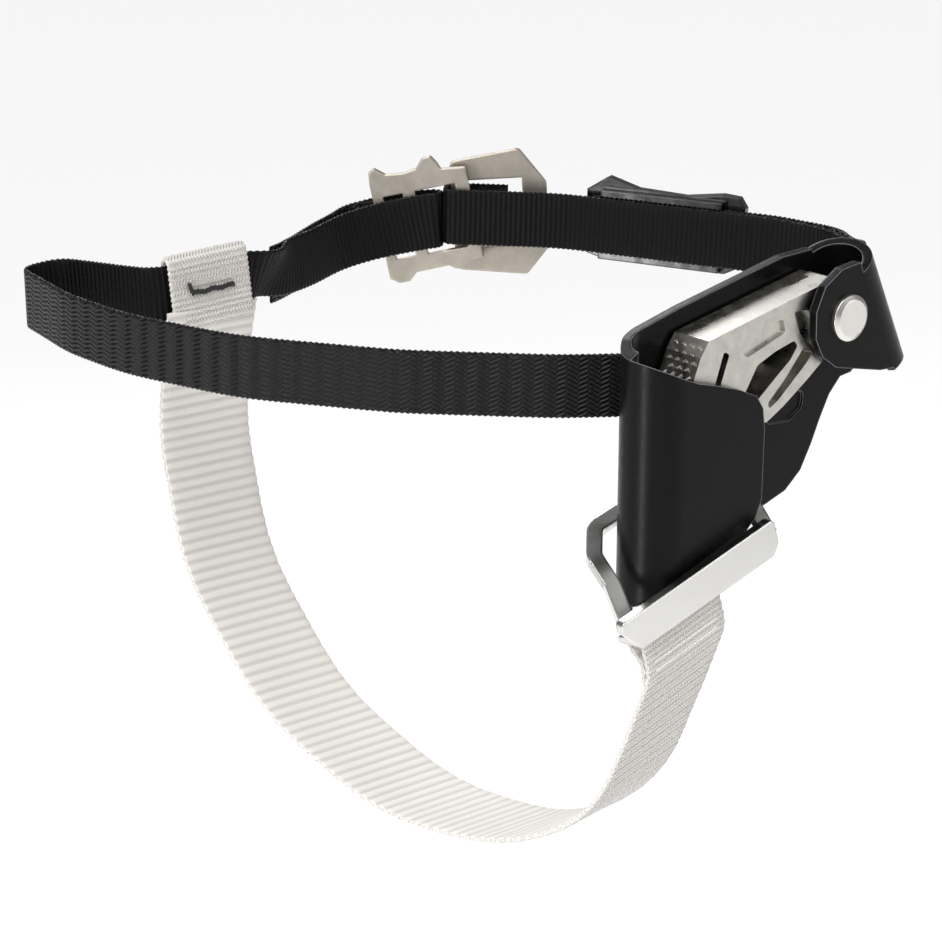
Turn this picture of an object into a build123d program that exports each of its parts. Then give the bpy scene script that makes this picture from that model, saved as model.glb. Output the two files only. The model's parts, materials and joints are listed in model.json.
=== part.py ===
from build123d import *
import os
from math import atan2, cos, hypot, radians, sin, tan

# Foot ascender, in millimetres. The origin is on the rope channel's axis at mid height.
# +X runs along the back plate from the spine to the cam pivot, +Y faces the boot, +Z is up the rope.

# Folded frame plate
SHEET = 2.5
SPINE_R = 9.5
SPINE_IN = SPINE_R - SHEET
PIVOT = (54.3, 33.0)
EAR_ORIGIN = (66.0, 0.0, 29.6)
EAR_LOOP_DROP = 1.2
EAR_LEAN = 25.9

# Cam and its pivot
CAM_HALF = 6.0
HUB_R = 8.6
BUSH_R = 4.5
SHANK_R = 3.0
RUNNING = 0.05
HEAD_R = 5.9
TOOTH_H = 1.7

# Instep link
LIP_TOP = (2.1, -13.5, -21.1)
LINK_TILT = 17.9
LIP_LENGTH = 52.0
LIP_HEIGHT = 9.5
LINK_SHEET = 2.5
RING_WIDTH = 4.0

# Webbing
TALL = 160.0
BLACK_WIDTH = 16.0
WHITE_WIDTH = 28.0
WEB = 1.3
WHITE_WEB = 1.6

# Buckle, placed along the ankle strap
BUCKLE_AT = (38.7, 125.9, 36.2)
BUCKLE_ALONG = (0.75, -0.66, 0.067)


def side_slab(points, y_low, y_high, corner=0.0):
    """An outline in X and Z, extruded from y_low to y_high."""
    flat = make_face(Polyline(*points, close=True))
    if corner:
        flat = fillet(flat.vertices(), corner)
    solid = extrude(Plane.XZ * flat, -(y_high - y_low))
    return Pos(0, y_low, 0) * solid


def easy_radii(points, share=0.47):
    """The largest radius that each corner's two runs leave room for."""
    radii = []
    for before, corner, after in zip(points, points[1:], points[2:]):
        into = (corner[0] - before[0], corner[1] - before[1])
        away = (after[0] - corner[0], after[1] - corner[1])
        turn = abs(atan2(into[0] * away[1] - into[1] * away[0], into[0] * away[0] + into[1] * away[1]))
        radii.append(share * min(hypot(*into), hypot(*away)) / tan(turn / 2))
    return radii


def one_side(points, radii, shift):
    """The path moved sideways by shift, to the left of its direction, with concentric arcs."""
    moved, bends = [], []
    last = len(points) - 1
    for i, (x, y) in enumerate(points):
        into = (x - points[i - 1][0], y - points[i - 1][1]) if i else None
        away = (points[i + 1][0] - x, points[i + 1][1] - y) if i < last else None
        normals = [(-d[1] / hypot(*d), d[0] / hypot(*d)) for d in (into, away) if d]
        nx, ny = (sum(n[k] for n in normals) for k in (0, 1))
        stretch = 2 / (nx * nx + ny * ny) if len(normals) == 2 else 1
        moved.append((x + shift * nx * stretch, y + shift * ny * stretch))
        if into and away:
            turns_left = into[0] * away[1] - into[1] * away[0] > 0
            bends.append(radii[i - 1] + (-shift if turns_left else shift))
    return FilletPolyline(*moved, radius=bends)


def web_face(points, thickness, radii=None):
    """The flat shape of a web of even thickness along a path with rounded corners."""
    radii = radii or easy_radii(points)
    left = one_side(points, radii, thickness / 2)
    right = one_side(points, radii, -thickness / 2)
    return make_face([left, right, Line(left @ 0, right @ 0), Line(left @ 1, right @ 1)])


def web_wall(points, radii, thickness, height):
    """Webbing that stands on edge: its plan path, its thickness and a height about Z = 0."""
    return Pos(0, 0, -height / 2) * extrude(web_face(points, thickness, radii), height, dir=(0, 0, 1))


def band(level, slope_x, slope_y, height):
    """A slab of the strap's height whose mid plane is Z = level + slope_x X + slope_y Y."""
    normal = Vector(-slope_x, -slope_y, 1)
    slab = Box(600, 600, height / normal.length)
    return Plane(origin=(0, 0, level), x_dir=(1, 0, slope_x), z_dir=normal) * slab


# ---------------------------------------------------------------- frame plate

FLANGE = [(-9.6, 30.6), (0, 26.2), (4.3, 24.5), (9.9, 23.1), (17.7, 20.7), (23.5, 18.1), (25.8, 14.6),
          (26.6, 9.0), (26.5, -9.0), (24.6, -13.3), (19.3, -18.3), (10, -23.1), (0.8, -25), (-7.4, -28.8), (-9.6, -31.7)]
BACK = [(-9.6, 30.6), (-5, 33.6), (0, 35.2), (12.6, 38.6), (27.2, 41.9), (47.3, 46.4),
        (60.5, 47.2), (74.6, 12), (70.3, 11.4), (66.5, 7.3), (63.5, 1.5), (60.6, -5), (57, -11.6),
        (51.7, -16.1), (43.2, -18.9), (19, -30), (0, -35), (-5, -34.6), (-9.6, -31.7)]
EAR = [(58.6, 46.6), (51.5, 45.6), (45.8, 42), (43.0, 36), (43.2, 29), (46, 24), (51, 20.6),
       (58.6, 19), (67.2, 17.2), (72.6, 17.0)]
EAR_TOP = 17.2
EAR_TOP_SLOPE = 0.15
EAR_FOOT = -17.4
EAR_FOOT_SLOPE = -0.27
SLOT_LONG = 17.8
HOLE_R = SHANK_R + RUNNING
LINK_HOLE = [(5.8, -17.4), (21.4, -15.3), (22.9, -5.4), (7.2, -3.8)]
HOLLOW = [(43.5, 10.2), (43.5, 3.2), (52, 2.6), (56.5, 5.5), (57, 10.2)]
BRIDGE_X = 32.5
BRIDGE_Z = 20.0


def ear_plane():
    lean = radians(EAR_LEAN)
    return Plane(origin=EAR_ORIGIN, x_dir=(cos(lean), 0, sin(lean)), z_dir=(-sin(lean), 0, cos(lean)))


def ear_bend():
    """The half tube that turns the sheet round from the back plate to the ear."""
    tube = Cylinder(SPINE_R, 60) - Cylinder(SPINE_IN, 70)
    tube = tube & (Pos(SPINE_R, 0, 0) * Box(2 * SPINE_R, 40, 80))
    top = Plane(origin=(0, 0, EAR_TOP), z_dir=(0, -EAR_TOP_SLOPE, 1)) * (Pos(0, 0, 20) * Box(80, 80, 40))
    foot = Plane(origin=(0, 0, EAR_FOOT), z_dir=(0, -EAR_FOOT_SLOPE, 1)) * (Pos(0, 0, -20) * Box(80, 80, 40))
    return tube - top - foot


def strap_slots():
    """The slot in the bend and the slot beside it, which the short strap's end passes through."""
    bend_slot = Rot(0, 0, 22) * (Pos(8.2, 0, 0) * Box(7, 3.6, SLOT_LONG))
    plate_slot = Pos(0.7, 8.5, 0) * Box(3.2, 7, SLOT_LONG)
    return Pos(0, 0, -EAR_LOOP_DROP) * (bend_slot + plate_slot)


def frame_plate():
    wall = Cylinder(SPINE_R, 120) - Cylinder(SPINE_IN, 130)
    wall = wall & (Pos(-SPINE_R, 0, 0) * Box(2 * SPINE_R, 40, 140))
    wall += Pos(40, -SPINE_R + SHEET / 2, 0) * Box(80, SHEET, 120)
    wall += Pos(40, SPINE_R - SHEET / 2, 0) * Box(80, SHEET, 120)
    front = wall & side_slab(FLANGE, -20, 0)
    back = wall & side_slab(BACK, 0, 20)
    plane = ear_plane()
    left_of_bend = plane * (Pos(-50, 0, 0) * Box(100, 60, 160))
    back = back & left_of_bend
    ear = side_slab(EAR, -SPINE_R, -SPINE_IN) & left_of_bend
    bend = plane * ear_bend()
    plate = front + back + bend + ear
    plate -= plane * strap_slots()
    rivet_line = Pos(PIVOT[0], 0, PIVOT[1]) * (Rot(90, 0, 0) * Cylinder(HOLE_R, 60))
    plate -= rivet_line
    # the hole that the instep link's right arm passes through
    plate -= side_slab(LINK_HOLE, 4, 12, 2.0)
    # a strip lanced out of the back plate: the long strap is sewn round it
    plate -= Pos(BRIDGE_X, 8, BRIDGE_Z) * Box(5.6, 6, 19.4)
    plate += Pos(BRIDGE_X, 13.2, BRIDGE_Z) * Box(4.6, 2, 22.4)
    for side in (-1, 1):
        plate += Pos(BRIDGE_X, 11.6, BRIDGE_Z + side * 10.3) * Box(4.6, 5.2, 1.8)
    # the pressed hollow under the cam
    plate -= side_slab(HOLLOW, 6.2, 7.8, 1.8)
    return plate


# ---------------------------------------------------------------- cam and pivot

CAM = [(10.1, 33.3), (52.5, 42.6), (59.6, 40), (62.6, 33), (59.5, 26.5), (51.4, 23.3), (44.4, 18.0),
       (36.3, 12.5), (30.6, 9.3), (20, 12.3), (8.4, 16.4), (5.0, 20.5), (5.6, 24.6), (7.6, 29.6)]
CAM_WINDOW = [(22.4, 17.6), (26.8, 24.6), (32.5, 27.0), (39.2, 28.8), (40.4, 27.2), (38.0, 24.0), (33.0, 20.2),
              (26.4, 15.0)]
CAM_GROOVE = [(42.6, 26.5), (46.2, 24.7), (42.8, 21.4), (34.2, 14.2), (31.2, 12.6), (31.0, 14.4), (36.6, 19.6)]
CAM_NECK = [(38.6, 36.2), (43.6, 35.8), (46.9, 28.6), (46.2, 26.2), (42.9, 28.2), (41.0, 30.4)]
CAM_PANEL = [(18.8, 31.5), (35.0, 35.0), (36.0, 31.4), (23.0, 27.0)]
CAM_SLOT = [(15.3, 30.0), (17.1, 28.8), (13.6, 19.2), (11.6, 19.2)]
GROOVE_DEPTH = 4.6
NECK_DEPTH = 1.3


def cam_cut(outline, depth, corner):
    """A pocket in the cam's front face."""
    return side_slab(outline, -CAM_HALF - 1, -CAM_HALF + depth, corner)


def cam_body():
    body = side_slab(CAM, -CAM_HALF, CAM_HALF)
    body -= side_slab(CAM_WINDOW, -10, 10, 0.9)
    body -= side_slab(CAM_SLOT, -10, 10, 0.7)
    body -= cam_cut(CAM_PANEL, 1.0, 1.0)
    body -= side_slab(CAM_PANEL, CAM_HALF - 1, CAM_HALF + 1, 1.0)
    body -= cam_cut(CAM_GROOVE, GROOVE_DEPTH, 0.5)
    body -= cam_cut(CAM_NECK, NECK_DEPTH, 0.5)
    hub = Pos(PIVOT[0], 0, PIVOT[1]) * (Rot(90, 0, 0) * Cylinder(HUB_R + 0.2, 2 * CAM_HALF))
    body += hub
    bore = Pos(PIVOT[0], 0, PIVOT[1]) * (Rot(90, 0, 0) * Cylinder(BUSH_R + RUNNING, 40))
    body -= bore
    # the slot in the top face that the spring's leg lies in
    body -= Pos(47.2, 2.8, 41.5) * (Rot(0, -12.4, 0) * Box(6.4, 4.2, 7))
    # the spring's pocket, open to the back plate
    body -= Pos(PIVOT[0], CAM_HALF, PIVOT[1]) * (Rot(90, 0, 0) * Cylinder(6.9, 6))
    return body


TOOTH_ROWS = 6
TOOTH_BASE = 1.25
TOOTH_TIP = 0.15


def cam_teeth(body):
    """Rows of leaning spikes along the gripping face, which is nearly an arc."""
    for row in range(TOOTH_ROWS):
        along = (row + 0.6) / TOOTH_ROWS
        x = 5.3 + 4.6 * along ** 1.6
        z = 21.6 + 10.4 * along
        lean = 196 - 24 * along
        places = (-4.2, -1.4, 1.4, 4.2) if row % 2 else (-2.8, 0.0, 2.8)
        for y in places:
            spike = Cone(TOOTH_BASE, TOOTH_TIP, TOOTH_H + 1.2)
            spike = Plane(origin=(x, y, z), z_dir=(cos(radians(lean)), 0, sin(radians(lean)) + 0.2)) * spike
            body += spike
    return body


def rivet():
    shank = Cylinder(SHANK_R, 2 * SPINE_R + 1.0)
    head = Pos(0, 0, SPINE_R + 0.5) * Cylinder(HEAD_R, 1.0)
    crown = Pos(0, 0, SPINE_R + 1.4) * Cone(HEAD_R, HEAD_R - 1.2, 0.8)
    tail = Pos(0, 0, -SPINE_R - 1.0 - 0.7) * Cone(HEAD_R - 1.8, HEAD_R - 1.0, 1.4)
    shank = Pos(0, 0, -0.5) * shank
    whole = shank + head + crown + tail
    return Pos(PIVOT[0], 0, PIVOT[1]) * (Rot(90, 0, 0) * whole)


def ring_on_pivot(outer, inner, y_low, y_high):
    ring = Cylinder(outer, y_high - y_low) - Cylinder(inner, 40)
    return Pos(PIVOT[0], (y_low + y_high) / 2, PIVOT[1]) * (Rot(90, 0, 0) * ring)


# ---------------------------------------------------------------- instep link

def link_plane():
    tilt = radians(LINK_TILT)
    return Plane(origin=LIP_TOP, x_dir=(cos(tilt), 0, sin(tilt)), z_dir=(-sin(tilt), 0, cos(tilt)))


RING_LEFT_REAR = Vector(-8.5, 13.0, -15.4)
RING_ROUND = [(-15.2, -1.5), (-13.8, 7.0), (-8.5, 13.0), (8.0, 13.0), (29.0, -3.0)]
RING_ROUND_R = [8, 5, 4, 5, 5]
SLOT_HALF = 13.9
SLOT_MID = -5.6
LOOP_WIDTH = 26.6
SLOT_Y = (3.2, 5.9)
SHELF_HALF = 16.2
SHELF_DEPTH = 8.8
BAR_SHEET = 1.7
SHELF_FALL = 0.14


def on_shelf(out, rise):
    """A point beside the falling shelf: its distance behind the lip and its height over the shelf's foot."""
    return (out, rise - LIP_HEIGHT - SHELF_FALL * out)


def across_link(points, low, high):
    """An outline in the link's Y and Z, extruded along the lip from low to high."""
    flat = make_face(Polyline(*points, close=True))
    return Pos((low + high) / 2, 0, 0) * extrude(Plane.YZ * flat, (high - low) / 2, both=True)


def instep_link():
    plane = link_plane()
    half = LIP_LENGTH / 2
    # the lip's outline, with its lower left corner cut back
    face = [(-half, 0), (half, 0), (half, -LIP_HEIGHT + 2.5), (half - 2.5, -LIP_HEIGHT),
            (-half + 4.2, -LIP_HEIGHT), (-half, -2.8)]
    lip = side_slab(face, 0, LINK_SHEET, 1.4)
    profile = [(0.3, -LIP_HEIGHT), (0.3, LINK_SHEET - LIP_HEIGHT), on_shelf(SHELF_DEPTH, BAR_SHEET),
               on_shelf(SHELF_DEPTH, 0)]
    shelf = across_link(profile, SLOT_MID - SHELF_HALF, SLOT_MID + SHELF_HALF)
    shelf -= Pos(SLOT_MID, sum(SLOT_Y) / 2, -LIP_HEIGHT) * Box(2 * SLOT_HALF, SLOT_Y[1] - SLOT_Y[0], 20)
    front = plane * (lip + shelf)
    # the ring's own plane holds the lip's middle line and the left rear corner
    start = Vector(plane.from_local_coords((-half + 2.6, 1.2, -3.0)))
    end = Vector(plane.from_local_coords((half - 1.6, 1.2, -4.0)))
    along = (end - start).normalized()
    normal = along.cross(RING_LEFT_REAR - start).normalized()
    ring_plane = Plane(origin=start, x_dir=along, z_dir=normal)

    def on_ring(x, y):
        rise = (normal.X * (x - start.X) + normal.Y * (y - start.Y)) / -normal.Z
        return ring_plane.to_local_coords(Vector(x, y, start.Z + rise))

    flat = [ring_plane.to_local_coords(start)] + [on_ring(*p) for p in RING_ROUND]
    flat.append(ring_plane.to_local_coords(end))
    points = [(p.X, p.Y) for p in flat]
    strip = extrude(web_face(points, RING_WIDTH, RING_ROUND_R), LINK_SHEET / 2, both=True)
    return front + ring_plane * strip


def link_loop():
    """White webbing folded over the link's rear bar, in the link's own directions."""
    lift = BAR_SHEET + WEB / 2 + 0.42
    front, rear = 4.55, SHELF_DEPTH + 1.1
    path_points = [(front, -LIP_HEIGHT - 13), on_shelf(front, lift), on_shelf(rear, lift), on_shelf(rear, -3),
                   (6.2, -LIP_HEIGHT - 9), (6.2, -LIP_HEIGHT - 13)]
    flat = web_face(path_points, WEB, [0.9, 0.9, 2.0, 2.0])
    solid = extrude(Plane.YZ * flat, LOOP_WIDTH / 2, both=True)
    return link_plane() * (Pos(SLOT_MID, 0, 0) * solid)


# ---------------------------------------------------------------- ankle strap

def on_buckle(along, out):
    x, y = BUCKLE_ALONG[0], BUCKLE_ALONG[1]
    size = hypot(x, y)
    x, y = x / size, y / size
    return (BUCKLE_AT[0] + along * x - out * y, BUCKLE_AT[1] + along * y + out * x)


LONG_FRONT = [(9, 11.9), (21, 11.9), (28.2, 15.9), (38.2, 15.9), (38.2, 10.35), (4, 10.35), (-14.5, 20.8),
              (-44.3, 45.0), (-70.4, 76.0), (-83.6, 108), (-86.6, 132), (-85.6, 148)]
LONG_FRONT_R = [8, 5, 2.6, 2.6, 12, 60, 60, 60, 60, 30]
LONG_REAR = [(-86.1, 140), (-84.6, 161.5), (-72.5, 161.5), (-62, 130.1), (-31.5, 126.7), (-13, 136.5),
             on_buckle(-32, 0), on_buckle(-7.1, 0), on_buckle(-7.1, 4.6), on_buckle(-27, 4.6), on_buckle(-34.5, 2.6),
             (-13.6, 139.3), (-24, 134.2)]
LONG_REAR_R = [5.5, 5.5, 5, 7, 20, 12, 2.2, 2.2, 12, 5, 14]
LONG_RISE = [(-96, 25.3), (-34, 30.9), (-10, 29.4), (12, 31.9), (48, 41.0)]
FRONT_LEVEL, FRONT_SLOPE = 19.52, 0.0435
SEAM_Y = 144.5
SHORT_RUN = [on_buckle(12, 8.9), on_buckle(-5.4, 8.9), on_buckle(-5.4, 0), (59.2, 107.8), (89.2, 52.7),
             (93.5, 34), (81, 7.4)]
SHORT_RUN_R = [1.7, 1.7, 40, 22, 20]
SHORT_LEVEL, SHORT_SLOPE = 33.66, 0.034
SHORT_RETURN = [(65.8, 101.5), (91.9, 53.6), (96.6, 33.5), (84.6, 8.2)]
SHORT_RETURN_R = [24, 22]
EAR_LOOP = [(19.4, 7.0), (4.3, 1.7), (0.7, 4.6), (0.7, 11.4), (13, 12.0), (20.6, 10.3)]
EAR_LOOP_R = [1.3, 1.3, 1.3, 6]


def rear_band():
    """The space between the long strap's edges behind the boot, which rise towards the buckle."""
    top = [(x, z + BLACK_WIDTH / 2) for x, z in LONG_RISE]
    foot = [(x, z - BLACK_WIDTH / 2) for x, z in reversed(LONG_RISE)]
    return side_slab(top + foot, 100, 200)


def ankle_strap_long():
    front = web_wall(LONG_FRONT, LONG_FRONT_R, WEB, TALL) & band(FRONT_LEVEL, 0, FRONT_SLOPE, BLACK_WIDTH)
    rear = web_wall(LONG_REAR, LONG_REAR_R, WEB, TALL) & rear_band()
    before_seam = Pos(0, SEAM_Y - 150, 0) * Box(400, 300, 400)
    behind_seam = Pos(0, SEAM_Y + 150, 0) * Box(400, 300, 400)
    right_of_end = Pos(117, 140, 0) * Box(400, 400, 400)
    return (front & before_seam) + (rear & (behind_seam + right_of_end))


def ankle_strap_short():
    slab = band(SHORT_LEVEL, 0, SHORT_SLOPE, BLACK_WIDTH)
    run = web_wall(SHORT_RUN, SHORT_RUN_R, WEB, TALL) & slab
    back = web_wall(SHORT_RETURN, SHORT_RETURN_R, WEB, TALL) & slab
    loop = extrude(web_face(EAR_LOOP, WEB, EAR_LOOP_R), BLACK_WIDTH, dir=(0, 0, 1))
    return run + back + ear_plane() * (Pos(0, 0, -EAR_LOOP_DROP - BLACK_WIDTH / 2) * loop)


# ---------------------------------------------------------------- buckle and slider

def buckle_plane():
    x = Vector(*BUCKLE_ALONG).normalized()
    out = Vector(-BUCKLE_ALONG[1], BUCKLE_ALONG[0], 0).normalized()
    return Plane(origin=BUCKLE_AT, x_dir=x, z_dir=x.cross(out))


def buckle_base():
    """The right-hand frame: the short strap is folded round its left bar."""
    outline = [(-3.6, -14.5), (-3.6, 17), (16.5, 19.8), (24, 9.5), (24, -9), (17, -17)]
    plate = side_slab(outline, 5.2, 7.6, 2.0)
    plate -= Pos(8.5, 6, 1.6) * Box(17, 8, 19.6)
    return buckle_plane() * plate


SLIDER_DROP = 8.0
SLIDER_LIFT = 2.8
SLIDER = [(-25, -14.5), (-25, 13.5), (-24.6, 17), (-23, 18), (-20, 15.6), (-15, 15), (-11, 15.6), (-8.6, 18.2),
          (-6.2, 18.4), (-4.8, 16.2), (-4, 14.2), (3, 13.4), (3, -13.4), (-1, -13.6), (-3, -15.2), (-5.5, -15.2),
          (-7.5, -13.8), (-17, -14), (-19.5, -16.2), (-22.5, -16.2)]


def buckle_slider():
    """The left-hand frame, turned down at its left end, with two horns above and two nubs below."""
    plate = side_slab(SLIDER, 1.1, 3.5)
    for low, high in ((-22, -16.2), (-12.7, -0.8)):
        plate -= Pos((low + high) / 2, 2, 0) * Box(high - low, 8, 18.8)
    turn = Pos(3, 0, 0) * Rot(0, -SLIDER_DROP, 0) * Pos(-3, 0, 0)
    return buckle_plane() * (Pos(0, 0, SLIDER_LIFT) * turn * plate)


def strap_slider():
    """A plastic clip that holds the short strap's outer ply against it."""
    start, end = Vector(*SHORT_RETURN[0], 0), Vector(*SHORT_RETURN[1], 0)
    along = (end - start).normalized()
    out = Vector(-along.Y, along.X, 0)
    mid = start + along * 21
    level = SHORT_LEVEL + SHORT_SLOPE * mid.Y
    tilt = Vector(along.X, along.Y, along.Y * SHORT_SLOPE)
    plane = Plane(origin=(mid.X, mid.Y, level), x_dir=tilt, z_dir=tilt.cross(out))
    outline = [(-23, -9), (-23, 9.4), (-17, 13.4), (-8, 10.8), (6, 10.2), (17, 11.8), (22, 11.4), (24, 8.5),
               (24, -8), (19, -10.6), (-17, -10.6)]
    plate = side_slab(outline, 0.95, 4.2)
    for side in (-1, 1):
        plate += Pos(0, -0.25, side * 9.3) * Box(36, 2.9, 1.4)
        plate += Pos(0, -1.35, side * 7.9) * Box(36, 0.7, 4.2)
    return plane * plate


# ---------------------------------------------------------------- instep strap

KEEPER_AT = (-46.5, 128.36, 29.8)
KEEPER_DEPTH = 5.2
INSTEP = [(128.5, 18.0), (131.5, -10), (125, -48), (101, -84), (66, -104.2), (30, -104.5), (5.5, -87), (-3.2, -58),
          (-5.6, -45.5)]


def keeper_plane():
    along, out = Vector(0.994, -0.108, 0.0895).normalized(), Vector(0.108, 0.994, 0)
    return Plane(origin=KEEPER_AT, x_dir=along, z_dir=along.cross(out))


def instep_keeper():
    """A flat loop of white webbing that rides on the long strap."""
    return keeper_plane() * (Box(WHITE_WIDTH - 5, KEEPER_DEPTH, 20.4) - Box(60, 2.4, 17.2))


def instep_strap():
    sheet = extrude(Plane.YZ * web_face(INSTEP, WHITE_WEB), 120, both=True)
    half = WHITE_WIDTH / 2
    plan = Polyline((-49 - half, 135), (-49 + half, 135), (4 + half, -12), (4 - half, -12), close=True)
    keep = Pos(0, 0, -200) * extrude(make_face(plan), 300, dir=(0, 0, 1))
    return sheet & keep


# ---------------------------------------------------------------- stitching

THREAD = 0.4
BAR_WIDTH = 0.9


def stitch_bars(places, height):
    """Upright bars of thread at the given places along a web, with their backs on its face."""
    bars = Compound([])
    for place in places:
        bars += Pos(place, THREAD / 2, 0) * Box(BAR_WIDTH, THREAD, height)
    return bars


def on_web(start, end, side, level, slope):
    """The plane on a standing web's face, with its origin at the start of a straight run."""
    along = Vector(end[0] - start[0], end[1] - start[1], 0).normalized()
    out = Vector(-along.Y, along.X, 0) * side
    face = Vector(start[0], start[1], level + slope * start[1]) + out * (WEB / 2)
    return Plane(origin=face, x_dir=along * side, z_dir=(0, 0, 1))


def keeper_bartack():
    bar = Box(13, THREAD, 1.6) + Pos(-6.1, 0, 0.6) * Box(1.6, THREAD, 2.8)
    return keeper_plane() * (Pos(0, -(KEEPER_DEPTH + THREAD) / 2, 0) * bar)


def bridge_stitching():
    plane = on_web(LONG_FRONT[0], LONG_FRONT[1], 1, FRONT_LEVEL, FRONT_SLOPE)
    return plane * stitch_bars((1.5, 4.0, 6.5), 11.5)


def ear_stitching():
    plane = on_web(SHORT_RETURN[1], SHORT_RETURN[2], 1, SHORT_LEVEL, SHORT_SLOPE)
    return plane * stitch_bars((4.6, 7.1, 9.6), 11.5)


def tail_stitching():
    level = LONG_RISE[2][1] + 0.9
    plane = on_web(LONG_REAR[-1], LONG_REAR[-2], 1, level, 0)
    return plane * stitch_bars((1.6, 3.4), 12.0)


def link_stitching():
    """Rows of thread that close the webbing loop below the link."""
    rows = Compound([])
    for drop in (8.8, 11.6):
        rows += Pos(SLOT_MID, 4.55 - WEB / 2 - THREAD / 2, -LIP_HEIGHT - drop) * Box(22, THREAD, BAR_WIDTH)
    return link_plane() * rows


# ---------------------------------------------------------------- writing the parts

def build():
    cam_washer = ring_on_pivot(7.2, BUSH_R + RUNNING, -SPINE_IN, -CAM_HALF - 0.1)
    cam_washer_back = ring_on_pivot(7.2, BUSH_R + RUNNING, CAM_HALF + 0.1, SPINE_IN)
    return {
        "frame_plate": frame_plate(),
        "cam": cam_teeth(cam_body()),
        "cam_rivet": rivet(),
        "rivet_washer": ring_on_pivot(6.2, SHANK_R + RUNNING, SPINE_R, SPINE_R + 1.0),
        "cam_bushing": ring_on_pivot(BUSH_R, SHANK_R + RUNNING, -SPINE_IN, SPINE_IN),
        "cam_spring": ring_on_pivot(6.4, BUSH_R + 0.3, 3.3, CAM_HALF - 0.1),
        "cam_washers": cam_washer + cam_washer_back,
        "instep_link": instep_link(),
        "instep_link_loop": link_loop(),
        "instep_strap": instep_strap(),
        "instep_keeper": instep_keeper(),
        "ankle_strap_long": ankle_strap_long(),
        "ankle_strap_short": ankle_strap_short(),
        "buckle_base": buckle_base(),
        "buckle_slider": buckle_slider(),
        "strap_slider": strap_slider(),
        "keeper_bartack": keeper_bartack(),
        "bridge_stitching": bridge_stitching(),
        "ear_stitching": ear_stitching(),
        "tail_stitching": tail_stitching(),
        "link_stitching": link_stitching(),
    }


os.makedirs("parts", exist_ok=True)
for name, shape in build().items():
    export_step(shape, "parts/" + name + ".step")
    print(name, round(shape.volume, 1), len(shape.solids()))
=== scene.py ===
import json
from math import cos, pi, radians, sin

import bpy
import numpy as np
from bpy.props import FloatProperty, FloatVectorProperty, PointerProperty
from mathutils import Matrix, Vector


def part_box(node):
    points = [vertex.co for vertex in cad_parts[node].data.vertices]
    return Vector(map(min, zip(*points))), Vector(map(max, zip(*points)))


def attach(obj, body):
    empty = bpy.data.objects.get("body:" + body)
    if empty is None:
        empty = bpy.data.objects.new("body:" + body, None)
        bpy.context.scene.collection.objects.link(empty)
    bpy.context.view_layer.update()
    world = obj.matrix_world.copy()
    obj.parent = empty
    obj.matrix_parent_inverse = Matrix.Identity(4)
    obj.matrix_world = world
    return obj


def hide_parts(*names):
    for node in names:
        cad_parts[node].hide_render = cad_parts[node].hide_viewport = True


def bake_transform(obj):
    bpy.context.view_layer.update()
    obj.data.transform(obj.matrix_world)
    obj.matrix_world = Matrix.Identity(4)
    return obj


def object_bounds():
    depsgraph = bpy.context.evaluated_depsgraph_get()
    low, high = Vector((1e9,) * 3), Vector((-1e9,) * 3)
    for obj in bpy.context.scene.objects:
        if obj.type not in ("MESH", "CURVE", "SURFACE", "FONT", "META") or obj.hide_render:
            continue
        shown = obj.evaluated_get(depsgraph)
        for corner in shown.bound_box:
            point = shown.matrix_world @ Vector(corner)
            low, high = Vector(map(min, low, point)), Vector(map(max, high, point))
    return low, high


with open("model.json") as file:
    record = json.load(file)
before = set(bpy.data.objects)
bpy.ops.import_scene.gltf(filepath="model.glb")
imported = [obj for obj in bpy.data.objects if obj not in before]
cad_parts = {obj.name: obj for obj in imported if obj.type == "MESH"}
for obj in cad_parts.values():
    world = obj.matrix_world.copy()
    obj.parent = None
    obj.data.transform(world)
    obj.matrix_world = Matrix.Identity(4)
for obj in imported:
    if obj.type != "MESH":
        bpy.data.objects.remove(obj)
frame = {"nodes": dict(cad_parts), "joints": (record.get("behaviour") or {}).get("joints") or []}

bl_info = {
    "name": "Foot ascender",
    "version": (1, 0, 0),
    "blender": (4, 5, 0),
    "location": "View3D > Sidebar > Ascender",
    "description": "Webbing, stitching, finishes and a plain studio round the ascender's CAD frame",
    "category": "Object",
}

# Metres, in the CAD frame: +Z runs up the rope, +Y faces the boot.
MM = 0.001
CAD_BOX = [list(corner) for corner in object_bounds()]
PIVOT = Vector(next(j["pos_m"] for j in frame["joints"] if j["name"] == "cam_pivot"))
LINK_JOINT = next(j for j in frame["joints"] if j["name"] == "link_swing")
LINK_ALONG = Vector(LINK_JOINT["axis"]).normalized()


def linear(hex_colour):
    """An sRGB hex colour as linear red, green and blue."""
    channels = [int(hex_colour[i : i + 2], 16) / 255 for i in (1, 3, 5)]
    return tuple(c / 12.92 if c <= 0.04045 else ((c + 0.055) / 1.055) ** 2.4 for c in channels)


# ---------------------------------------------------------------- settings


def length_of(name, description, default):
    return FloatProperty(name=name, description=description, default=default, unit="LENGTH", precision=5)


def colour_of(name, description, hex_colour):
    return FloatVectorProperty(
        name=name, description=description, default=linear(hex_colour), size=3, min=0, max=1, subtype="COLOR"
    )


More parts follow.
